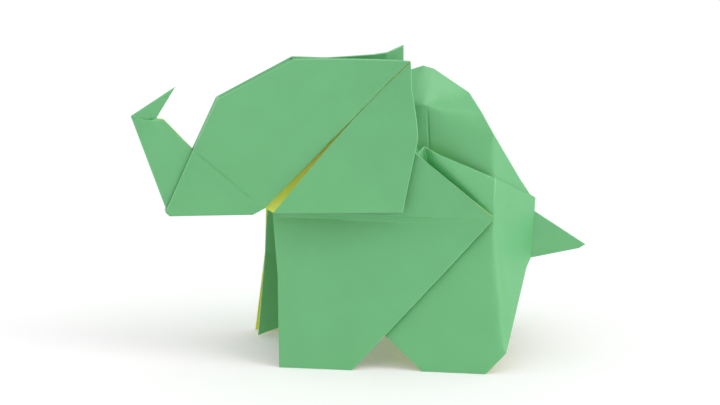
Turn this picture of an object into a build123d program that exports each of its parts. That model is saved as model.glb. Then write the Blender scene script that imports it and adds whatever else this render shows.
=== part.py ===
from build123d import *
import math
import os
from types import SimpleNamespace
import numpy as np

# An elephant folded from one square sheet of paper. Every size is in millimetres.
# Lengths run back from the breast, half widths out from the middle plane, heights up from the table.

# Paper
paper = 0.15  # thickness of the sheet
ply_gap = 0.35  # between the middles of two plies pressed together
ear_gap = 0.6  # between the middles of the two plies of an ear

# Flanks: two flat walls that open out towards the rump and towards the table
hip_reach = 52.8
hip_height = 36.8
hip_half = 18.0
flank_flare = 16.7  # degrees, each flank's turn away from the middle plane
leg_splay = 18.4  # degrees, each leg's lean outwards
flank_step = 1.7  # the front leg's wall lies this far outside the hind leg's wall

# Front legs
breast_height = 36.0
front_foot = 17.3
shin_height = 21.7
shin_back = 0.5
shin_bulge = 0.5
right_shin_bulge = 4.0
lining_gap = 0.7
lining_start = 4.0  # the lining begins this far down the slanted fold
lining_rise = 6.5  # and ends at this height
lining_inset = 0.7
left_lining_tuck = 1.3
right_lining_tuck = 2.1
right_toe_spread = 3.2  # the right front leg's outer ply stands off further than the left one's
right_toe_forward = 1.9
right_breast_forward = 0.7

# Hind legs
hind_foot_front = 34.2
hind_foot_back = 49.2
heel_reach = 54.2
heel_height = 5.0
hock_drop = 2.8  # the hind edge steps in under the rump
hock_tuck = 1.4
notch_angle = 43.7  # degrees, edge between the legs
notch_edge = 23.5

# Rump band: the upper edge of the hind legs' wall
shoulder_reach = 34.4
shoulder_half = 13.2
shoulder_height = 52.0
pocket_reach = 36.6
pocket_half = 11.4
pocket_height = 53.4
pocket_floor_reach = 38.5  # deepest place of the pocket behind the shoulder
pocket_floor_half = 11.2
pocket_floor_height = 44.0
bend_reach = 38.7  # the band bends into the pocket from here to the hip
bend_half = 13.4
bend_height = 52.3
band_half = 15.0
band_height = 45.7
rump_reach = 66.3
rump_height = 36.6
rump_slit = 0.8
rump_drop = 14.7
rump_tuck = 1.1
rump_open = 0.9

# Back
neck_height = 68.3
ridge_start = 35.4
ridge_height = 70.4
withers_reach = 38.1
withers_rise = 0.8
withers_end = 40.6
loin_reach = 49.5
loin_height = 64.1
croup_reach = 51.3
croup_half = 8.5
croup_height = 60.8
crease_top_reach = 53.8
crease_top_half = 11.5
crease_top_height = 55.9
eave_reach = 34.0
eave_half = 6.4
eave_height = 63.6
wall_front_reach = 34.3
wall_front_half = 8.0
wall_front_height = 54.0
mane_reach = 24.0
mane_half = 4.4
side_start = 37.2
side_half = 7.4
side_height = 62.9
side_low_half = 8.9
side_low_height = 47.0
crease_half = 13.6
crease_height = 44.5
tuck_half = 15.0
tuck_height = 38.0

# Tail
tail_root_height = 33.8
tail_reach = 79.2
tail_height = 24.2
tail_under_reach = 61.5
tail_under_height = 21.0
tail_under_half = 1.2
tail_half = 0.3
tail_blunt = 1.6
tail_blunt_angle = 28

# Head
nose_reach = -18.9
nose_height = 52.6
nose_half = 1.15
brow_reach = -13.1
brow_height = 64.6
brow_half = 1.5
crown_reach = 5.5
crown_height = 74.1
crown_half = 1.7
crown_sink = 3.3
chin_reach = -2.2
chin_height = 37.6
chin_half = 5.6
jaw_reach = -4.9
jaw_height = 35.9
jaw_half = 4.6
lip_reach = -25.2
lip_height = 35.4
lip_half = 1.25
lip_round = 1.0

# Ears
ear_height = 73.7
ear_waist_reach = 14.0
ear_waist_half = 1.2
ear_curl_reach = 20.5
ear_curl_half = 2.2
ear_bend_reach = 25.8
ear_bend_half = 3.3
ear_turn_reach = 29.7
ear_turn_half = 5.2
ear_reach = 33.5
ear_half = 9.8
left_rim_rise = 0.5  # the left ear lies flatter than the right one, and its top edge a little higher
left_waist_half = 3.0
left_curl_half = 4.4
left_bend_half = 5.7
left_turn_half = 7.0
left_ear_half = 8.8
right_ear_lift = 0.7  # the right ear's tip stands a little higher than the left one's
right_ear_back = 1.0
ear_back_height = 67.5
ear_back_half = 10.6
ear_side_reach = 34.5
ear_side_height = 60.0
ear_side_half = 12.8
ear_corner_height = 56.0
ear_corner_half = 14.6
ear_low_reach = 30.5
ear_low_height = 38.1
ear_low_half = 16.2
ear_front_height = 36.4
ear_front_half = 5.6
slit_upper_half = 7.4
slit_middle_half = 7.0
slit_lower_half = 6.7
slit_width = 0.1
slit_open = 1.1
flap_lift = 5.0  # the flap springs open below the middle of the slit, most at its front corner
cheek_lift = 1.5  # and so does the cheek, most at the chin
lift_forward = 0.14  # an opening edge moves forward and up by these shares of its lift
lift_rise = 0.25
neck_fold_reach = 4.0
neck_fold_height = 67.0
neck_fold_half = 1.3

# Trunk
trunk_tuck = 1.5
trunk_half = 0.45
trunk_bend_reach = -34.2
trunk_bend_height = 60.4
trunk_back_reach = -26.3
trunk_back_height = 59.7
tip_root = 6.3
tip_reach = -23.3
tip_height = 67.7
tip_half = 0.18

# Steps along the ear's diagonal slit, as shares of its length from the top
slit_shares = (0.16, 0.36, 0.56)


def middle(reach, height):
    """A fold point on the middle plane."""
    return Vector(reach, 0, height)


def towards(start, end, share):
    """The point a share of the way from start to end."""
    return start + (end - start) * share


def inward(point, depth):
    """The same point on a ply that lies deeper, nearer the middle plane."""
    return Vector(point.X, point.Y - depth * math.copysign(1, point.Y), point.Z)


def lifted(point, lift):
    """The same point on an edge that has sprung open."""
    return inward(point, -lift) + Vector(-lift_forward * lift, 0, lift_rise * lift)


def polygon(*corners):
    """A facet with three or more corners, as triangles."""
    return [(corners[0], corners[k], corners[k + 1]) for k in range(1, len(corners) - 1)]


def fold(edge, other_edge):
    """The narrow turn of the paper between two plies, along two matching rows of points."""
    turn = []
    for k in range(len(edge) - 1):
        turn += polygon(edge[k], edge[k + 1], other_edge[k + 1], other_edge[k])
    return turn


def flank_half(reach, height, half_at_hip):
    """Half width of a flank's flat wall at a place."""
    flare = (reach - hip_reach) * math.tan(math.radians(flank_flare))
    splay = (hip_height - height) * math.tan(math.radians(leg_splay))
    return half_at_hip + flare + splay


def leg_points(side):
    """Fold points of one flank's front and hind leg."""
    def front(reach, height, out=0):
        return Vector(reach, side * (flank_half(reach, height, hip_half + flank_step) + out), height)

    def hind(reach, height):
        return Vector(reach, side * flank_half(reach, height, hip_half), height)

    right = side > 0
    p = SimpleNamespace()
    p.hip_front = front(hip_reach, hip_height)
    p.breast = front(-right_breast_forward * right, breast_height)
    bulge = right_shin_bulge if right else shin_bulge
    p.shin = front(shin_back * (not right), shin_height, bulge)
    p.toe = front(-right_toe_forward * right, 0, right_toe_spread * right)
    p.toe_back = front(front_foot, 0)
    slant = p.hip_front - p.toe_back
    p.lining_low = p.toe_back + slant * (lining_rise / slant.Z)
    p.lining_top = p.hip_front - slant.normalized() * lining_start
    p.inner_low = inward(p.lining_low, lining_gap)
    p.inner_top = inward(p.lining_top, lining_gap)
    p.inner_breast = inward(front(lining_inset, breast_height - lining_inset), lining_gap)
    p.inner_shin = inward(front(shin_back + lining_inset, shin_height, bulge), lining_gap)
    tuck = right_lining_tuck if right else left_lining_tuck
    p.inner_toe = front(lining_inset - right_toe_forward * right, 0, -tuck)
    p.shoulder = Vector(shoulder_reach, side * shoulder_half, shoulder_height)
    p.pocket = Vector(pocket_reach, side * pocket_half, pocket_height)
    p.pocket_floor = Vector(pocket_floor_reach, side * pocket_floor_half, pocket_floor_height)
    p.bend = Vector(bend_reach, side * bend_half, bend_height)
    p.hip = hind(hip_reach, hip_height)
    p.heel = hind(heel_reach, heel_height)
    p.hind_back = hind(hind_foot_back, 0)
    p.hind_front = hind(hind_foot_front, 0)
    rise = math.radians(notch_angle)
    p.hidden_end = hind(hind_foot_front - notch_edge * math.cos(rise), notch_edge * math.sin(rise))
    p.band = Vector(hip_reach + rump_open, side * band_half, band_height)
    p.rump = Vector(rump_reach, side * rump_slit, rump_height)
    p.rump_low = Vector(rump_reach - rump_tuck, side * (rump_slit + rump_open), rump_height - rump_drop)
    hind_edge = p.heel - p.rump_low
    p.hock = p.rump_low + hind_edge * (hock_drop / -hind_edge.Z) + (p.hip - p.heel).normalized() * hock_tuck
    return p


def back_points(side):
    """Fold points of one side of the back and of the tail."""
    p = SimpleNamespace()
    p.neck = middle(neck_fold_reach + ear_gap, neck_height)
    p.ridge = middle(ridge_start, ridge_height)
    p.withers = middle(withers_reach, ridge_height + withers_rise)
    p.withers_end = middle(withers_end, ridge_height)
    p.loin = middle(loin_reach, loin_height)
    p.tail_start = middle(rump_reach - rump_open, rump_height)
    p.mane = Vector(mane_reach, side * mane_half, eave_height)
    p.eave = Vector(eave_reach, side * eave_half, eave_height)
    p.wall_front = Vector(wall_front_reach, side * wall_front_half, wall_front_height)
    p.side = Vector(side_start, side * side_half, side_height)
    p.side_low = Vector(side_start, side * side_low_half, side_low_height)
    p.croup = Vector(croup_reach, side * croup_half, croup_height)
    p.crease_top = Vector(crease_top_reach, side * crease_top_half, crease_top_height)
    p.crease = Vector(hip_reach + rump_open, side * crease_half, crease_height)
    p.tuck = Vector(hip_reach, side * tuck_half, tuck_height)
    p.tail_root = Vector(rump_reach - rump_open, side * tail_half, tail_root_height)
    p.tail_tip = Vector(tail_reach, side * tail_half, tail_height)
    p.tail_heel = p.tail_tip - Vector(tail_blunt, 0, tail_blunt * math.tan(math.radians(tail_blunt_angle)))
    p.tail_under = Vector(tail_under_reach, side * tail_under_half, tail_under_height)
    return p


def head_points(side):
    """Fold points of one side of the head, its ear and the trunk."""
    def at(reach, half, height):
        return Vector(reach, side * half, height)

    right = side > 0
    p = SimpleNamespace()
    p.nose = at(nose_reach, nose_half, nose_height)
    p.brow = at(brow_reach, brow_half, brow_height)
    p.crown = at(crown_reach, crown_half, crown_height)
    p.sink_front = middle(brow_reach + lip_round, brow_height - ear_gap)
    p.sink_back = middle(crown_reach - crown_half, crown_height - crown_sink)
    low_edge = at(chin_reach, chin_half, chin_height)
    p.chin = lifted(low_edge, cheek_lift)
    p.jaw = lifted(at(jaw_reach, jaw_half, jaw_height), cheek_lift)
    p.lip = at(lip_reach, lip_half, lip_height)
    p.lip_front = at(lip_reach - lip_round, lip_half, lip_height + lip_round)
    reaches = (ear_waist_reach, ear_curl_reach, ear_bend_reach, ear_turn_reach)
    if right:
        rim_height, tip_rise, tip_out = ear_height, right_ear_lift, ear_half
        halves = (ear_waist_half, ear_curl_half, ear_bend_half, ear_turn_half)
    else:
        rim_height, tip_rise, tip_out = ear_height + left_rim_rise, 0, left_ear_half
        halves = (left_waist_half, left_curl_half, left_bend_half, left_turn_half)
    p.rim = [p.crown] + [at(reach, half, rim_height) for reach, half in zip(reaches, halves)]
    tip = at(ear_reach + right_ear_back * right, tip_out, rim_height + tip_rise)
    diagonal = low_edge - tip
    across = Vector(slit_width, 0, -slit_width)
    widening = Vector(slit_open, 0, -slit_open)
    p.cheek_edge, p.flap_edge, p.inner_slit = [], [], []
    for share, half in zip(slit_shares, (slit_upper_half, slit_middle_half, slit_lower_half)):
        place = tip + diagonal * share
        edge = at(place.X, half, place.Z)
        opened = max(0, share - slit_shares[1]) / (1 - slit_shares[1])
        p.cheek_edge.append(lifted(edge, cheek_lift * opened))
        p.flap_edge.append(lifted(edge + across + widening * opened, flap_lift * opened))
        p.inner_slit.append(inward(edge + across / 2, ear_gap))
    p.cheek_top = tip - across / 2
    p.flap_top = tip + across / 2
    p.hem = [at(tip.X + slit_width, ear_back_half, ear_back_height)]
    p.hem += [at(ear_side_reach, ear_side_half, ear_side_height)]
    p.hem += [at(ear_side_reach, ear_corner_half, ear_corner_height)]
    p.hem += [at(ear_low_reach, ear_low_half, ear_low_height)]
    low_front = at(chin_reach + 2 * slit_open, ear_front_half, ear_front_height)
    p.ear_front = lifted(low_front, flap_lift)
    p.inner_tip = inward(tip, ear_gap)
    p.inner_rim = [inward(point, ear_gap) for point in p.rim]
    p.inner_hem = [inward(point, ear_gap) for point in p.hem]
    p.inner_front = inward(low_front, ear_gap)
    p.inner_chin = inward(low_edge - across, ear_gap)
    p.neck_fold = at(neck_fold_reach, neck_fold_half, neck_fold_height)
    p.neck_wall = inward(p.neck_fold, ear_gap)
    p.throat = inward(p.inner_chin + widening / 2, ear_gap)
    return p


def trunk_points(side, head):
    """Fold points of one side of the trunk, which comes out from inside the head."""
    def at(reach, half, height):
        return Vector(reach, side * half, height)

    p = SimpleNamespace()
    drop = Vector(-ply_gap, 0, -2 * ply_gap)
    p.outer = [inward(head.nose + drop, ply_gap), inward(head.lip_front, ply_gap)]
    back = head.nose + Vector(trunk_tuck, 0, -trunk_tuck) + drop
    low = head.lip_front + Vector(trunk_tuck, 0, 0)
    p.inner = [inward(back, ply_gap), inward(low, ply_gap)]
    p.start = [at(back.X, trunk_half, back.Z), at(low.X, trunk_half, low.Z)]
    p.knee = at(head.lip_front.X + ply_gap, trunk_half, head.lip_front.Z + ply_gap)
    p.bend = at(trunk_bend_reach, trunk_half, trunk_bend_height)
    p.back = at(trunk_back_reach, trunk_half, trunk_back_height)
    p.root = towards(p.bend, p.back, tip_root / (p.back - p.bend).length)
    rise = Vector(0, 0, ply_gap)
    p.tip_front = at(p.bend.X, tip_half, p.bend.Z) + rise
    p.tip_root = at(p.root.X, tip_half, p.root.Z) + rise
    p.tip_heel = at(p.root.X, tip_half, p.root.Z) + rise * 3
    p.tip = at(tip_reach, tip_half, tip_height)
    return p


def leg_facets(leg):
    """Front leg with its lining, the pocket behind the shoulder, and the hind leg round the rump."""
    front = polygon(leg.breast, leg.shin, leg.lining_top, leg.hip_front)
    front += polygon(leg.shin, leg.lining_low, leg.lining_top)
    front += polygon(leg.shin, leg.toe, leg.toe_back, leg.lining_low)
    shoulder = polygon(leg.breast, leg.hip_front, leg.shoulder)
    lining = fold([leg.lining_top, leg.lining_low], [leg.inner_top, leg.inner_low])
    lining += polygon(leg.inner_shin, leg.inner_top, leg.inner_low, leg.inner_toe)
    lining += polygon(leg.inner_shin, leg.inner_breast, leg.inner_top)
    mouth = [leg.shoulder, leg.hip_front, leg.hip, leg.bend, leg.pocket, leg.shoulder]
    pocket = polygon(leg.pocket_floor, *mouth)
    hind = polygon(leg.hip, leg.bend, leg.band)
    hind += polygon(leg.hip, leg.band, leg.rump, leg.rump_low, leg.hock, leg.heel)
    hind += polygon(leg.hip, leg.heel, leg.hind_back, leg.hind_front, leg.hidden_end)
    return front + shoulder + lining + pocket + hind


def back_facets(back, leg, head):
    """One side of the back, from the neck between the ears to the rump and the tail."""
    roof = polygon(back.mane, head.neck_wall, back.neck, back.ridge)
    roof += polygon(back.eave, back.mane, back.ridge, back.withers, back.withers_end, back.side)
    roof += polygon(back.side, back.withers_end, back.loin, back.croup)
    neck = polygon(back.mane, back.eave, back.wall_front, leg.shoulder, leg.breast)
    neck += polygon(back.mane, leg.breast, head.throat, head.neck_wall)
    wall = polygon(back.wall_front, back.eave, back.side, back.side_low, leg.shoulder)
    wall += polygon(back.side, back.croup, back.crease_top, back.crease, back.side_low)
    wall += polygon(back.side_low, back.crease, back.tuck)
    rump = polygon(back.loin, back.croup, back.crease_top, back.tail_start)
    rump += polygon(back.crease, back.crease_top, back.tail_start, back.tail_root, back.tuck)
    rump += polygon(back.tuck, back.tail_root, back.tail_under)
    tail = polygon(back.tail_root, back.tail_tip, back.tail_heel, back.tail_under)
    return roof + neck + wall + rump + tail


def head_facets(head):
    """Side of the head, and the ear: an inner ply with the cheek and a flap folded over it."""
    rim, slit = head.rim, head.cheek_edge
    cheek = polygon(head.nose, head.brow, head.crown, slit[2], head.chin)
    cheek += polygon(head.nose, head.chin, head.jaw, head.lip, head.lip_front)
    cheek += polygon(slit[2], rim[0], rim[1], rim[2], slit[1])
    cheek += polygon(slit[1], rim[2], rim[3], slit[0])
    cheek += polygon(slit[0], rim[3], rim[4], head.cheek_top)
    hem, edge = head.hem, head.flap_edge
    flap = polygon(edge[0], head.flap_top, hem[0], hem[1])
    flap += polygon(edge[1], edge[0], hem[1], hem[2])
    flap += polygon(edge[2], edge[1], hem[2], hem[3], head.ear_front)
    sink = polygon(head.crown, head.brow, head.sink_front, head.sink_back)
    return cheek + flap + sink


def ear_facets(head):
    """The ear's inner ply, and the folds that join it to the cheek, to the flap and to the neck."""
    rim, hem, slit = head.inner_rim, head.inner_hem, head.inner_slit
    ply = polygon(head.neck_fold, rim[0], rim[1], slit[2])
    ply += polygon(slit[2], rim[1], rim[2], slit[1])
    ply += polygon(slit[1], rim[2], rim[3], slit[0])
    ply += polygon(slit[0], rim[3], rim[4], head.inner_tip, hem[0], hem[1])
    ply += polygon(slit[1], slit[0], hem[1], hem[2])
    ply += polygon(slit[2], slit[1], hem[2], hem[3], head.inner_front, head.inner_chin, head.neck_fold)
    top = fold(head.rim + [head.cheek_top], rim + [head.inner_tip])
    back = fold([head.flap_top] + head.hem, [head.inner_tip] + hem)
    neck = fold([head.neck_fold, head.inner_chin], [head.neck_wall, head.throat])
    return ply + top + back + neck


def trunk_facets(trunk, head):
    """One side of the trunk and of its tip, each tucked into the fold before it."""
    tuck = fold([head.nose, head.lip_front], trunk.outer)
    tuck += fold(trunk.outer, trunk.inner)
    tuck += fold(trunk.inner, trunk.start)
    side = polygon(trunk.knee, trunk.bend, trunk.root, trunk.back, trunk.start[0], trunk.start[1])
    step = fold([trunk.bend, trunk.root], [trunk.tip_front, trunk.tip_root])
    tip = polygon(trunk.tip, trunk.tip_front, trunk.tip_root, trunk.tip_heel)
    return tuck + side + step + tip


def middle_facets(left, right):
    """What joins the two halves across the middle plane: brow, trunk and tail."""
    facets = fold([left.head.nose, left.head.brow], [right.head.nose, right.head.brow])
    facets += polygon(left.head.brow, right.head.brow, left.head.sink_front)
    facets += fold([left.trunk.bend, left.trunk.knee], [right.trunk.bend, right.trunk.knee])
    facets += fold([left.trunk.tip_front, left.trunk.tip], [right.trunk.tip_front, right.trunk.tip])
    facets += polygon(left.back.tail_start, left.back.tail_root, right.back.tail_root)
    facets += fold([left.back.tail_root, left.back.tail_tip], [right.back.tail_root, right.back.tail_tip])
    return facets


def half(side):
    """All fold points of one half."""
    points = SimpleNamespace(leg=leg_points(side), back=back_points(side), head=head_points(side))
    points.trunk = trunk_points(side, points.head)
    return points


def half_facets(points):
    """All facets of one half."""
    facets = leg_facets(points.leg) + back_facets(points.back, points.leg, points.head)
    facets += head_facets(points.head) + ear_facets(points.head)
    return facets + trunk_facets(points.trunk, points.head)


def numbered(facets):
    """Shared corners of the facets, and each facet as three corner numbers."""
    numbers, corners, triangles = {}, [], []
    for facet in facets:
        triangle = []
        for point in facet:
            key = (round(point.X, 6), round(point.Y, 6), round(point.Z, 6))
            if key not in numbers:
                numbers[key] = len(corners)
                corners.append(key)
            triangle.append(numbers[key])
        triangles.append(tuple(triangle))
    return np.array(corners), triangles


def edges_of(triangle):
    """The three directed edges of a triangle."""
    a, b, c = triangle
    return [(a, b), (b, c), (c, a)]


def same_side_up(triangles):
    """The triangles turned so that the sheet's face is on the same side of all of them."""
    beside = {}
    for number, triangle in enumerate(triangles):
        for edge in edges_of(triangle):
            beside.setdefault(frozenset(edge), []).append(number)
    turned = {0: triangles[0]}
    waiting = [0]
    while waiting:
        current = waiting.pop()
        for edge in edges_of(turned[current]):
            for other in beside[frozenset(edge)]:
                if other not in turned:
                    facet = triangles[other]
                    turned[other] = facet[::-1] if edge in edges_of(facet) else facet
                    waiting.append(other)
    return [turned[number] for number in range(len(triangles))]


def half_thickness(corners, triangles):
    """For each corner, the step from the sheet's middle to its face that keeps full thickness."""
    normals = [[] for _ in corners]
    for triangle in triangles:
        a, b, c = corners[list(triangle)]
        normal = np.cross(b - a, c - a)
        for corner in triangle:
            normals[corner].append(normal / np.linalg.norm(normal))
    flat_enough = 0.3  # folds sharper than this keep a rounded edge, not a spike
    steps = []
    for rows in normals:
        half_paper = np.full(len(rows), paper / 2)
        steps.append(np.linalg.lstsq(np.array(rows), half_paper, rcond=flat_enough)[0])
    return np.array(steps)


def sheet(facets):
    """The folded sheet as one closed solid."""
    corners, triangles = numbered(facets)
    triangles = same_side_up(triangles)
    step = half_thickness(corners, triangles)
    face_side, reverse_side = corners + step, corners - step
    skins = [[face_side[k] for k in triangle] for triangle in triangles]
    skins += [[reverse_side[k] for k in triangle[::-1]] for triangle in triangles]
    inner_edges = {edge for triangle in triangles for edge in edges_of(triangle)}
    for a, b in sorted(inner_edges):
        if (b, a) not in inner_edges:
            skins.append([face_side[b], face_side[a], reverse_side[a]])
            skins.append([face_side[b], reverse_side[a], reverse_side[b]])
    faces = [Face(Wire.make_polygon([Vector(*point) for point in skin], close=True)) for skin in skins]
    return Solid(Shell(faces))


def standing(solid):
    """The solid moved so that its box stands on the table, centred over the origin."""
    box = solid.bounding_box()
    return solid.moved(Location((-box.center().X, -box.center().Y, -box.min.Z)))


left, right = half(-1), half(1)
elephant = standing(sheet(half_facets(left) + half_facets(right) + middle_facets(left, right)))

os.makedirs("parts", exist_ok=True)
export_step(elephant, "parts/folded_sheet.step")
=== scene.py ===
"""Looks for an elephant folded from a square of paper, green on its face, yellow on its back."""

import math

import bmesh
import bpy
import numpy as np
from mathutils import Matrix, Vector, noise
from mathutils.bvhtree import BVHTree


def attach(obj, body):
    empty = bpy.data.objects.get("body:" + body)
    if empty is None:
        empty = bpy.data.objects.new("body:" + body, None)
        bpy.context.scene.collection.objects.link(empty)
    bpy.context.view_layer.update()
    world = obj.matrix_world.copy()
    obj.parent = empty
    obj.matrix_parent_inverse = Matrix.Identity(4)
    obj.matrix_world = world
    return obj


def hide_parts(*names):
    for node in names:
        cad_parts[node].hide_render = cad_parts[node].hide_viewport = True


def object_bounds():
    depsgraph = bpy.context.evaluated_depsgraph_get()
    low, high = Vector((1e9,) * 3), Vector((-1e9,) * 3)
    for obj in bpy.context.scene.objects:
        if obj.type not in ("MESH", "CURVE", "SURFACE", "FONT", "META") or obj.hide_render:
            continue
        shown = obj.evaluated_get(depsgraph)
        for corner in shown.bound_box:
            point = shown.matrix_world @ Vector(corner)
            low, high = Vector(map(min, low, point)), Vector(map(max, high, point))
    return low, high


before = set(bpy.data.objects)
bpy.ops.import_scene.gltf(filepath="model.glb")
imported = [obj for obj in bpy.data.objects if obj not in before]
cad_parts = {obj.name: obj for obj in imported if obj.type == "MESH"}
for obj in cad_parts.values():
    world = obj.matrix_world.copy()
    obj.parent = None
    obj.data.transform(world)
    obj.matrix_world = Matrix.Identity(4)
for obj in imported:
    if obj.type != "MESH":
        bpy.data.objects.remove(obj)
cad_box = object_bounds()

MM = 0.001

# Lengths are in millimetres. X runs towards the tail, Y to the elephant's right, Z up.

# The sheet and its folds
PAPER = 0.15  # thickness
HINGE_ANGLE = 40  # degrees; a bend sharper than this is a pressed fold
BEND_ANGLE = 4  # degrees; a bend between the two is only curved
CRISP_FOLD = 0.2  # width of a pressed fold to each side
FOLD_STEPS = 3  # flat strips that round a pressed fold
NARROW_SHARE = 0.38  # a fold's width on a narrow turn between two plies, as a share of the turn
GRID = 1.1  # spacing of the cuts that let the flat parts curve
CURVE_REACH = 3.0  # how far the paper curves to each side of a bend
CURVE_ROUNDS = 2  # rounds of evening out for a reach of one cell; they grow with its square
ROOM_SHARE = 0.25  # how much of the gap to the next ply a curve may use up

# How the solid is read and cut
MERGE = 0.001  # corners nearer than this are one corner
INTO_SHEET = 0.01  # a look through the sheet starts this far under its surface
SHEET_DEPTH = 1.4 * PAPER  # and finds the other side within this depth
SHEET_BACK = -0.9  # which is turned the other way: the cosine between the two is below this
OFF_SHEET = 0.05  # a look for the next ply starts this far off the sheet
CUT_SNAP = 0.0005  # corners nearer than this to a cut lie on it

# Folds that were only rounded by hand: two fold points on the left side, and how far it curves
EAVE = Vector((11.5, -6.4, 63.6))
SIDE = Vector((14.7, -7.4, 62.9))
LOIN = Vector((27.0, 0, 64.1))
CROUP = Vector((28.8, -8.5, 60.8))
CREASE_TOP = Vector((31.3, -11.5, 55.9))
CREASE = Vector((31.2, -13.6, 44.5))
HIP = Vector((30.3, -18.0, 36.8))
HEEL = Vector((31.7, -29.0, 5.0))
BAND_BEND = Vector((16.2, -13.4, 52.3))
ROUNDED = [
    (EAVE, SIDE, 1.5),
    (SIDE, CROUP, 1.3),
    (SIDE, LOIN, 5.0),
    (CREASE_TOP, CREASE, 1.7),
    (HIP, HEEL, 2.5),
    (HIP, BAND_BEND, 2.0),
]
POINT_NEAR = 1.0  # an edge ends at a fold point that is nearer than this

# Slow waves, and the small crinkles that handling leaves
BUCKLE = 0.10  # height of the waves
BUCKLE_LENGTH = 17.0
BUCKLE_EASE = 3.0  # they run out over this distance to the middle and to the widest place
SIDE_SHIFT = 30.0  # each side's waves are drawn this far from the middle, so that the two differ
CRINKLE = 0.015  # height of the crinkles
CRINKLE_LENGTH = 4.0

# The dent under the breast crease
BREAST_CREASE = 36.2  # height of the crease across the top of the front legs
DENT = 1.25  # how far the paper sinks in under that crease
DENT_DROP = 1.1  # the deepest line lies this far below it
DENT_REACH = 13.0  # and the dent runs out this far below it
DENT_START, DENT_END = -22.0, 30.0  # from the breast to the hip
DENT_SWELL, DENT_ONSET = 2.6, 0.6  # factor and power that let it come up fast and fade slowly
DENT_EASE = 4.0  # plies nearer the middle than this sink less

# The right front leg's lining
LINING_EDGE = [(0.0, -23.68), (21.7, -21.28), (36.0, -21.8)]  # height and reach of its front edge
LINING_SLIDE = 1.3  # how far forward it lies against the wall, above the shin
LINING_SLIDE_LOW = 0.6  # and at the toe
LINING_FADE = 12.0  # the slide runs out this far behind its edge
LINING_FORWARD = Vector((-0.958, -0.287, 0))  # the way forward in its own plane
LINING_START = 2.5  # it lies farther out to the right than this
LINING_FACING = -0.5  # and its green side looks inward: the Y of its normal is below this

# The trunk's mouth, where the tip is folded up out of the trunk
TRUNK_BEND = Vector((-56.68, 0, 60.4))
TRUNK_FRONT_SLOPE = 0.354  # the trunk's front edge runs back this far for each millimetre down
TIP_FRONT_SLOPE = 1.49  # and the tip's front edge this far for each millimetre up
MOUTH = 1.0  # how far the trunk's top edge stands off from the tip
MOUTH_LENGTH = 6.1
MOUTH_DEPTH = 9.0  # it opens over this depth, below the bend
MOUTH_TOP = 1.1  # highest place that opens, in depths from its foot
TIP_HALF = 0.22  # half the thickness of the tip between the trunk's walls
WALL_STEP = 0.18  # distance from there to the walls
TIP_SINK = 1.4  # how far the tip reaches down into the trunk behind the edge
TIP_SINK_FOOT, TIP_SINK_TOP = 0.9, 1.08  # between these places, in the same depths
TIP_SINK_FADE = 0.03  # and it runs out over this last part

# The left band's top corner at the rump
RUMP_CORNER = Vector((42.0, -1.2, 37.4))
RUMP_LIFT = 0.5
RUMP_LIFT_REACH = 5.0

# Creases that were pressed and opened again: start and end as reach and height, and depth
PRESSED = [
    ((-43.0, 53.0), (-26.5, 39.0), 0.2),
    ((15.4, 62.3), (15.8, 51.0), 0.15),
    ((-20.0, BREAST_CREASE), (29.5, BREAST_CREASE), 0.15),
]
PRESS_WIDTH = 0.45  # half the width of the mark that such a crease leaves
PRESS_STRIP = 3 * GRID  # cells nearer than this to the crease are cut for it
PRESS_SNAP = 0.001  # corners nearer than this to such a cut lie on it
PRESS_LINE = 0.002  # and corners nearer than this to the crease are pressed in
OUTER_FACING = 0.8  # an outer wall looks out to its side: the Y of its normal is above this
OUTER_START = 1.2  # and it lies farther out than this

# The paper's look
CLOUD = 9.0  # size of the soft mottling
FIBRE = 0.5  # size of the fibres
FIBRE_SHARE = 0.5  # their part in the tone, beside the mottling
FIBRE_HEIGHT = 0.03
FOLD_WEAR_AND_HIGHLIGHT = 0.55  # how far a pressed fold takes on a paler colour: partly broken dye, partly a painted highlight where the fold catches the light
GLOW_DEPTH = 0.5  # how deep light scatters in the sheet

# The studio
SURROUND = 0.86  # brightness of the white all round
LAMPS = {  # the direction that the light comes from, and its power
    "right": ((0.9, -0.35, 0.25), 0.4),
    "upper_right": ((0.55, -0.25, 0.8), 0.65),
}
LAMP_SPREAD = 30  # degrees
CARD_LIFT = 0.1  # how much whiter the card looks than its light makes it
FLOOR_HALF = 4000.0

# The camera, from the photograph's framing
CAMERA_AZIMUTH = -8.0
CAMERA_ELEVATION = 14.0
CAMERA_DISTANCE = 1000.0
CAMERA_TARGET = Vector((-0.18, 0, 36.97))
CAMERA_NEAR, CAMERA_FAR = 10.0, 20000.0
FRAME_WIDTH = 178.56  # across the picture at the target
SENSOR = 36.0


def linear(code):
    """An sRGB hex colour as linear red, green, blue and alpha."""
    values = [int(code[k:k + 2], 16) / 255 for k in (1, 3, 5)]
    return [v / 12.92 if v <= 0.04045 else ((v + 0.055) / 1.055) ** 2.4 for v in values] + [1.0]


def node(tree, kind, settings=None, **links):
    """Adds a node.

    A setting names a property, or an input by its name or number. A link names the input it feeds.
    """
    made = tree.nodes.new(kind)
    for name, value in (settings or {}).items():
        if isinstance(name, int) or name in made.inputs:
            made.inputs[name].default_value = value
        else:
            setattr(made, name, value)
    for name, output in links.items():
        tree.links.new(made.inputs[name.replace("_", " ")], output)
    return made


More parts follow.
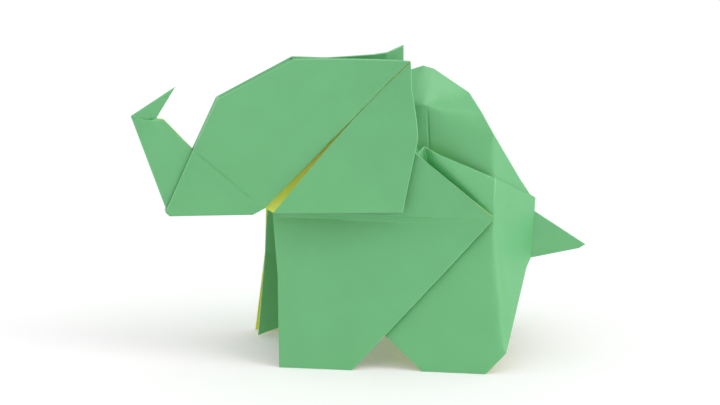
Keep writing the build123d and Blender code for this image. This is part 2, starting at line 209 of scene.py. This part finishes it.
def printed_face():
    """The green side of the sheet alone, from a merged copy of the CAD solid."""
    bm = bmesh.new()
    bm.from_mesh(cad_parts["folded_sheet"].data)
    bmesh.ops.remove_doubles(bm, verts=bm.verts, dist=MERGE * MM)
    solid = BVHTree.FromBMesh(bm)
    backed = set()
    for face in bm.faces:
        start = face.calc_center_median() - face.normal * INTO_SHEET * MM
        hit, facing, _, depth = solid.ray_cast(start, -face.normal)
        if hit and depth < SHEET_DEPTH * MM and facing.dot(face.normal) < SHEET_BACK:
            backed.add(face)
    outermost = min(backed, key=lambda face: face.calc_center_median().y)
    printed, waiting = {outermost}, [outermost]
    while waiting:
        for edge in waiting.pop().edges:
            for face in backed.intersection(edge.link_faces) - printed:
                printed.add(face)
                waiting.append(face)
    corners = {vert for face in printed for vert in face.verts}
    others = [face for face in bm.faces if not corners.issuperset(face.verts)]
    bmesh.ops.delete(bm, geom=others, context="FACES")
    return bm


def hand_rounded(edge):
    """How far the paper curves at an edge that was rounded by hand, on either side, or nothing."""
    ends = [Vector((v.co.x, -abs(v.co.y), v.co.z)) / MM for v in edge.verts]
    for first, second, reach in ROUNDED:
        for points in ((first, second), (second, first)):
            if all((end - point).length < POINT_NEAR for end, point in zip(ends, points)):
                return reach
    return None


def sorted_folds(bm):
    """Writes each pressed fold's width on its edge, and gives the bends as start, end and reach."""
    weight = bm.edges.layers.float.new("bevel_weight_edge")
    bends = []
    for edge in bm.edges:
        if edge.is_boundary:
            continue
        turn = math.degrees(edge.calc_face_angle())
        ends = [v.co.copy() for v in edge.verts]
        reach = hand_rounded(edge)
        if reach:
            bends.append((*ends, reach * MM))
        elif turn > HINGE_ANGLE:
            narrowest = min(2 * face.calc_area() / edge.calc_length() for face in edge.link_faces)
            edge[weight] = min(1, NARROW_SHARE * narrowest / (CRISP_FOLD * MM))
        elif turn > BEND_ANGLE:
            bends.append((*ends, CURVE_REACH * MM))
    return bends


def rounded_folds(bm):
    """The sheet with rounded pressed folds, and on each face whether it lies in such a fold."""
    mesh = bpy.data.meshes.new("sharp_folds")
    bm.to_mesh(mesh)
    bm.free()
    sharp = bpy.data.objects.new("sharp_folds", mesh)
    bpy.context.scene.collection.objects.link(sharp)
    # Two empty slots, so that the rounding can mark its faces with the second
    mesh.materials.append(None)
    mesh.materials.append(None)
    rounding = sharp.modifiers.new("rounding", "BEVEL")
    rounding.limit_method = "WEIGHT"
    rounding.width = CRISP_FOLD * MM
    rounding.segments = FOLD_STEPS
    rounding.profile = 0.5
    rounding.use_clamp_overlap = False
    rounding.material = 1
    bpy.context.view_layer.update()
    folded = bmesh.new()
    folded.from_object(sharp, bpy.context.evaluated_depsgraph_get())
    bpy.data.objects.remove(sharp)
    bpy.data.meshes.remove(mesh)
    in_fold = folded.faces.layers.float.new("fold")
    for face in folded.faces:
        face[in_fold] = face.material_index
        face.material_index = 0
        face.smooth = True
    return folded


def cut(bm, place, across):
    """Cuts the whole sheet along a plane."""
    everything = bm.verts[:] + bm.edges[:] + bm.faces[:]
    bmesh.ops.bisect_plane(
        bm, geom=everything, dist=CUT_SNAP * MM, plane_co=place, plane_no=across)


def cut_grid(bm):
    """Cuts the flat parts into small cells along X and Z, and along the dent's two lines."""
    low, high = cad_box
    for axis in (0, 2):
        across = Vector((0, 0, 0))
        across[axis] = 1
        count = int((high[axis] - low[axis]) / (GRID * MM))
        for step in range(1, count + 1):
            cut(bm, across * (low[axis] + step * GRID * MM), across)
    up = Vector((0, 0, 1))
    for height in (BREAST_CREASE, BREAST_CREASE - DENT_DROP):
        cut(bm, up * (height * MM), up)


def room_to_move(bm, verts):
    """How far each corner may move before it comes near the ply next to it."""
    plies = BVHTree.FromBMesh(bm)
    bm.normal_update()
    rooms = []
    for vert in verts:
        gaps = []
        for side in (1, -1):
            start = vert.co + side * vert.normal * OFF_SHEET * MM
            gaps.append(plies.ray_cast(start, side * vert.normal)[3])
        rooms.append(ROOM_SHARE * min((gap for gap in gaps if gap), default=1))
    return rooms


def curve_bends(bm, bends):
    """Turns each bend into a curve by evening out the corners near it.

    Free edges and pressed folds stay. Where two bends run close together, the crisper one is made.
    """
    in_fold = bm.faces.layers.float["fold"]
    free = [v for v in bm.verts
            if not v.is_boundary and not any(face[in_fold] for face in v.link_faces)]
    rooms = room_to_move(bm, free)
    before = [v.co.copy() for v in free]
    places = np.array(before)
    near = {}
    for start, end, reach in bends:
        start, along = np.array(start), np.array(end - start)
        share = np.clip((places - start) @ along / (along @ along), 0, 1)
        gap = np.linalg.norm(places - start - share[:, None] * along, axis=1)
        near.setdefault(reach, np.zeros(len(free), bool))
        near[reach] |= gap < reach
    taken = np.zeros(len(free), bool)
    for reach, chosen in sorted(near.items()):
        verts = [v for v, inside in zip(free, chosen & ~taken) if inside]
        taken |= chosen
        for _ in range(int((reach / (GRID * MM)) ** 2 * CURVE_ROUNDS)):
            bmesh.ops.smooth_vert(
                bm, verts=verts, factor=0.5, use_axis_x=True, use_axis_y=True, use_axis_z=True)
    for vert, start, room in zip(free, before, rooms):
        moved = vert.co - start
        if moved.length > room:
            vert.co = start + moved * (room / moved.length)


def buckle(bm):
    """Lets the paper wave and crinkle a little. Plies at one place move together, so none meet."""
    widest = cad_box[1].y
    for vert in bm.verts:
        half = abs(vert.co.y)
        shift = math.copysign(SIDE_SHIFT * MM, vert.co.y)
        place = Vector((vert.co.x, shift, vert.co.z)) / MM
        wave = BUCKLE * noise.noise(place / BUCKLE_LENGTH)
        wave += CRINKLE * noise.noise(place / CRINKLE_LENGTH)
        ease = min(1, half / (BUCKLE_EASE * MM)) * min(1, (widest - half) / (BUCKLE_EASE * MM))
        vert.co.y += wave * ease * MM


def sink_under_crease(bm):
    """Sinks the front legs' walls in under the breast crease. Plies at one place move together."""
    for vert in bm.verts:
        drop = BREAST_CREASE - vert.co.z / MM
        along = (vert.co.x / MM - DENT_START) / (DENT_END - DENT_START)
        if 0 < drop < DENT_REACH and 0 < along < 1:
            if drop < DENT_DROP:
                depth = drop / DENT_DROP
            else:
                below = (drop - DENT_DROP) / (DENT_REACH - DENT_DROP)
                depth = 0.5 + 0.5 * math.cos(math.pi * below)
            ease = min(1, abs(vert.co.y) / (DENT_EASE * MM))
            length = DENT_SWELL * along ** DENT_ONSET * (1 - along)
            vert.co.y -= math.copysign(DENT * depth * length * ease * MM, vert.co.y)


def slide_lining(bm):
    """Slides the right front leg's lining forward in its own plane, up to the wall's edge."""
    bm.normal_update()
    heights, reaches = zip(*LINING_EDGE)
    for vert in bm.verts:
        reach, half, height = vert.co / MM
        if half > LINING_START and height < heights[-1] and vert.normal.y < LINING_FACING:
            behind = reach - np.interp(height, heights, reaches)
            amount = np.interp(height, heights[:2], (LINING_SLIDE_LOW, LINING_SLIDE))
            amount *= min(1, max(0, 1 - behind / LINING_FADE))
            vert.co += LINING_FORWARD * amount * MM


def open_trunk(bm):
    """Lets the trunk's top edge stand off from the tip, and the tip go down behind that edge."""
    for vert in bm.verts:
        reach, half, height = vert.co / MM
        drop = TRUNK_BEND.z - height
        edge_reach = TRUNK_BEND.x + max(drop * TRUNK_FRONT_SLOPE, -drop * TIP_FRONT_SLOPE)
        along = (reach - edge_reach) / MOUTH_LENGTH
        rise = (height - TRUNK_BEND.z + MOUTH_DEPTH) / MOUTH_DEPTH
        if 0 < along < 1 and 0 < rise < MOUTH_TOP:
            wall = min(1, max(0, (abs(half) - TIP_HALF) / WALL_STEP))
            opened = math.sin(math.pi * along)
            outward = MOUTH * wall * min(1, rise) ** 2 * opened ** 0.5
            vert.co.y += math.copysign(outward, half) * MM
            if TIP_SINK_FOOT < rise < TIP_SINK_TOP:
                fade = min(1, (TIP_SINK_TOP - rise) / TIP_SINK_FADE)
                vert.co.z -= TIP_SINK * (1 - wall) * opened * fade * MM


def raise_rump_corner(bm):
    """Lifts the left band's top corner at the rump, so that it covers the right band's reverse."""
    for vert in bm.verts:
        place = vert.co / MM
        gap = (place - RUMP_CORNER).length
        if place.y < 0 and gap < RUMP_LIFT_REACH:
            vert.co.z += RUMP_LIFT * (1 - gap / RUMP_LIFT_REACH) * MM


def on_outer_wall(face, place):
    """Whether a place on a face lies on an outer wall, which looks out to its side."""
    outward = face.normal.y * math.copysign(1, place.y)
    return outward > OUTER_FACING and abs(place.y) > OUTER_START * MM


def press_crease(bm, start, end, depth):
    """Leaves a shallow sharp line where a crease was pressed into outer walls and opened again."""
    start = Vector((start[0], 0, start[1])) * MM
    along = Vector((end[0], 0, end[1])) * MM - start
    across = Vector((-along.z, 0, along.x)).normalized()

    def share(place):
        return (place - start).dot(along) / along.length_squared

    def beside(place, width):
        return abs((place - start).dot(across)) < width * MM and 0 < share(place) < 1

    for offset in (-PRESS_WIDTH, 0, PRESS_WIDTH):
        bm.normal_update()
        parts = {}
        for face in bm.faces:
            middle = face.calc_center_median()
            if beside(middle, PRESS_STRIP) and on_outer_wall(face, middle):
                parts.update(dict.fromkeys((*face.verts, *face.edges, face)))
        bmesh.ops.bisect_plane(
            bm, geom=list(parts), dist=PRESS_SNAP * MM,
            plane_co=start + across * offset * MM, plane_no=across)
    pressed = {vert for face in bm.faces for vert in face.verts
               if beside(vert.co, PRESS_LINE) and on_outer_wall(face, vert.co)}
    for vert in pressed:
        inward = depth * math.sin(math.pi * share(vert.co)) ** 0.5
        vert.co.y -= math.copysign(inward, vert.co.y) * MM
    for edge in {edge for vert in pressed for edge in vert.link_edges}:
        if pressed.issuperset(edge.verts):
            edge.smooth = False


def keep_inside(bm):
    """Brings back the few corners that a rounded fold pushed out past the solid's box."""
    low, high = cad_box
    for vert in bm.verts:
        for axis in range(3):
            vert.co[axis] = min(max(vert.co[axis], low[axis]), high[axis])


def paper_object(bm, materials):
    """The finished sheet: green face, yellow reverse and cut edge, at full thickness."""
    mesh = bpy.data.meshes.new("paper_elephant")
    bm.to_mesh(mesh)
    bm.free()
    for material in materials:
        mesh.materials.append(material)
    piece = bpy.data.objects.new("paper_elephant", mesh)
    bpy.context.scene.collection.objects.link(piece)
    wall = piece.modifiers.new("thickness", "SOLIDIFY")
    wall.thickness = PAPER * MM
    wall.offset = -1
    wall.use_even_offset = False
    wall.material_offset = 1
    # The rim takes the cut edge's colour: the pale core, partly a painted highlight
    wall.material_offset_rim = 2
    evened = piece.modifiers.new("flat_parts_stay_flat", "WEIGHTED_NORMAL")
    evened.keep_sharp = True
    return piece


def new_material(name, settings):
    """A material with some of its shader's inputs set, with its tree and its shader."""
    material = bpy.data.materials.new(name)
    material.use_nodes = True
    tree = material.node_tree
    shader = tree.nodes["Principled BSDF"]
    for setting, value in settings.items():
        shader.inputs[setting].default_value = value
    return material, tree, shader


def paper_material(name, body, pale, fold_wear_and_highlight_tint):
    """Smooth paper: matte with a soft sheen, mottled by its fibres, paler along its pressed folds,
    partly from wear and partly as a painted highlight.

    Light scatters inside the sheet, so that its shaded side glows a little.
    """
    material, tree, shader = new_material(name, {
        "Roughness": 0.55,
        "IOR": 1.7,
        "Specular IOR Level": 1.0,
        "Subsurface Weight": 0.3,
        "Subsurface Radius": (1.0, 1.0, 0.6),
        "Subsurface Scale": GLOW_DEPTH * MM,
    })
    place = node(tree, "ShaderNodeTexCoord").outputs["Object"]
    cloud = node(tree, "ShaderNodeTexNoise", {"Scale": 1 / (CLOUD * MM), "Detail": 3.0},
                 Vector=place)
    fibre = node(tree, "ShaderNodeTexNoise",
                 {"Scale": 1 / (FIBRE * MM), "Detail": 4.0, "Roughness": 0.7}, Vector=place)
    speck = node(tree, "ShaderNodeMath", {"operation": "MULTIPLY_ADD", 1: FIBRE_SHARE},
                 Value=fibre.outputs["Fac"])
    tree.links.new(speck.inputs[2], cloud.outputs["Fac"])
    tone = node(tree, "ShaderNodeMapRange", {"From Min": 0.5, "From Max": 1.0},
                Value=speck.outputs[0])
    dyed = node(tree, "ShaderNodeMix", {"data_type": "RGBA"}, Factor=tone.outputs["Result"])
    dyed.inputs[6].default_value = linear(body)
    dyed.inputs[7].default_value = linear(pale)
    fold = node(tree, "ShaderNodeAttribute", {"attribute_name": "fold"})
    # Pressed folds turn paler: partly worn dye, partly a painted highlight where the fold catches
    # the light
    worn_and_lit = node(tree, "ShaderNodeMath", {"operation": "MULTIPLY", 1: FOLD_WEAR_AND_HIGHLIGHT},
                Value=fold.outputs["Fac"])
    colour = node(tree, "ShaderNodeMix", {"data_type": "RGBA"}, Factor=worn_and_lit.outputs[0])
    tree.links.new(colour.inputs[6], dyed.outputs[2])
    colour.inputs[7].default_value = linear(fold_wear_and_highlight_tint)
    tree.links.new(shader.inputs["Base Color"], colour.outputs[2])
    bump = node(tree, "ShaderNodeBump", {"Strength": 0.25, "Distance": FIBRE_HEIGHT * MM},
                Height=fibre.outputs["Fac"])
    tree.links.new(shader.inputs["Normal"], bump.outputs["Normal"])
    return material


def backdrop_material():
    """White studio card. It looks white to the camera and still shows the shadow under the feet."""
    material, tree, shader = new_material("white_card", {
        "Base Color": linear("#F4F4F4"),
        "Roughness": 0.9,
        "Specular IOR Level": 0.1,
        "Emission Color": linear("#FFFFFF"),
    })
    ray = node(tree, "ShaderNodeLightPath").outputs
    mirrored = node(tree, "ShaderNodeMath", {"operation": "ADD"}, Value=ray["Is Glossy Ray"])
    tree.links.new(mirrored.inputs[1], ray["Is Transmission Ray"])
    seen = node(tree, "ShaderNodeMath", {"operation": "ADD", "use_clamp": True},
                Value=ray["Is Camera Ray"])
    tree.links.new(seen.inputs[1], mirrored.outputs[0])
    lift = node(tree, "ShaderNodeMath", {"operation": "MULTIPLY", 1: CARD_LIFT},
                Value=seen.outputs[0])
    tree.links.new(shader.inputs["Emission Strength"], lift.outputs[0])
    return material


def floor():
    """A wide pale floor under the feet."""
    bm = bmesh.new()
    bmesh.ops.create_grid(bm, x_segments=1, y_segments=1, size=FLOOR_HALF * MM)
    mesh = bpy.data.meshes.new("floor")
    bm.to_mesh(mesh)
    bm.free()
    mesh.materials.append(backdrop_material())
    piece = bpy.data.objects.new("floor", mesh)
    bpy.context.scene.collection.objects.link(piece)


def lamp(name, towards, power):
    """A broad distant lamp. Its light comes from the direction given."""
    light = bpy.data.lights.new(name, "SUN")
    light.energy = power
    light.angle = math.radians(LAMP_SPREAD)
    obj = bpy.data.objects.new(name, light)
    obj.rotation_euler = Vector(towards).to_track_quat("Z", "Y").to_euler()
    bpy.context.scene.collection.objects.link(obj)


def studio():
    """A bright white surround, with weak lamps from the right and from above on that side."""
    world = bpy.data.worlds.new("surround")
    bpy.context.scene.world = world
    world.use_nodes = True
    background = world.node_tree.nodes["Background"]
    background.inputs["Color"].default_value = linear("#FFFFFF")
    background.inputs["Strength"].default_value = SURROUND
    for name, (towards, power) in LAMPS.items():
        lamp(name, towards, power)


def camera():
    """The photograph's viewpoint."""
    lens = bpy.data.cameras.new("camera")
    lens.sensor_width = SENSOR
    lens.sensor_fit = "HORIZONTAL"
    lens.lens = SENSOR * CAMERA_DISTANCE / FRAME_WIDTH
    lens.clip_start = CAMERA_NEAR * MM
    lens.clip_end = CAMERA_FAR * MM
    turn, rise = math.radians(CAMERA_AZIMUTH), math.radians(CAMERA_ELEVATION)
    level = math.cos(rise)
    back = Vector((math.sin(turn) * level, -math.cos(turn) * level, math.sin(rise)))
    obj = bpy.data.objects.new("camera", lens)
    obj.location = (CAMERA_TARGET + back * CAMERA_DISTANCE) * MM
    obj.rotation_euler = (-back).to_track_quat("-Z", "Y").to_euler()
    bpy.context.scene.collection.objects.link(obj)
    bpy.context.scene.camera = obj


# The printed side: a soft mid green, hardly mottled, with pale lines along the pressed folds that
# are partly wear and partly a painted highlight
green = paper_material("dyed_paper_green", "#48AF62", "#4FB469", "#8AD49A")
# The reverse: a sharp yellow that shows in the slits, the pocket and the linings
yellow = paper_material("bare_paper_yellow", "#D4E200", "#DAE614", "#E6E860")
# The cut: a pale green hairline that draws every free edge; the paper's pale core, brightened into
# a painted highlight along the edges
cut_edge_and_highlight = paper_material("cut_paper_edge_and_highlight", "#CFEBCF", "#DDF2DC", "#DDF2DC")

flat_sheet = printed_face()
curved_bends = sorted_folds(flat_sheet)
sheet = rounded_folds(flat_sheet)
cut_grid(sheet)
curve_bends(sheet, curved_bends)
buckle(sheet)
sink_under_crease(sheet)
slide_lining(sheet)
open_trunk(sheet)
raise_rump_corner(sheet)
for crease in PRESSED:
    press_crease(sheet, *crease)
keep_inside(sheet)
elephant = paper_object(sheet, [green, yellow, cut_edge_and_highlight])
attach(elephant, "root")
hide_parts("folded_sheet")

floor()
studio()
camera()
bpy.context.scene.view_settings.view_transform = "Standard"
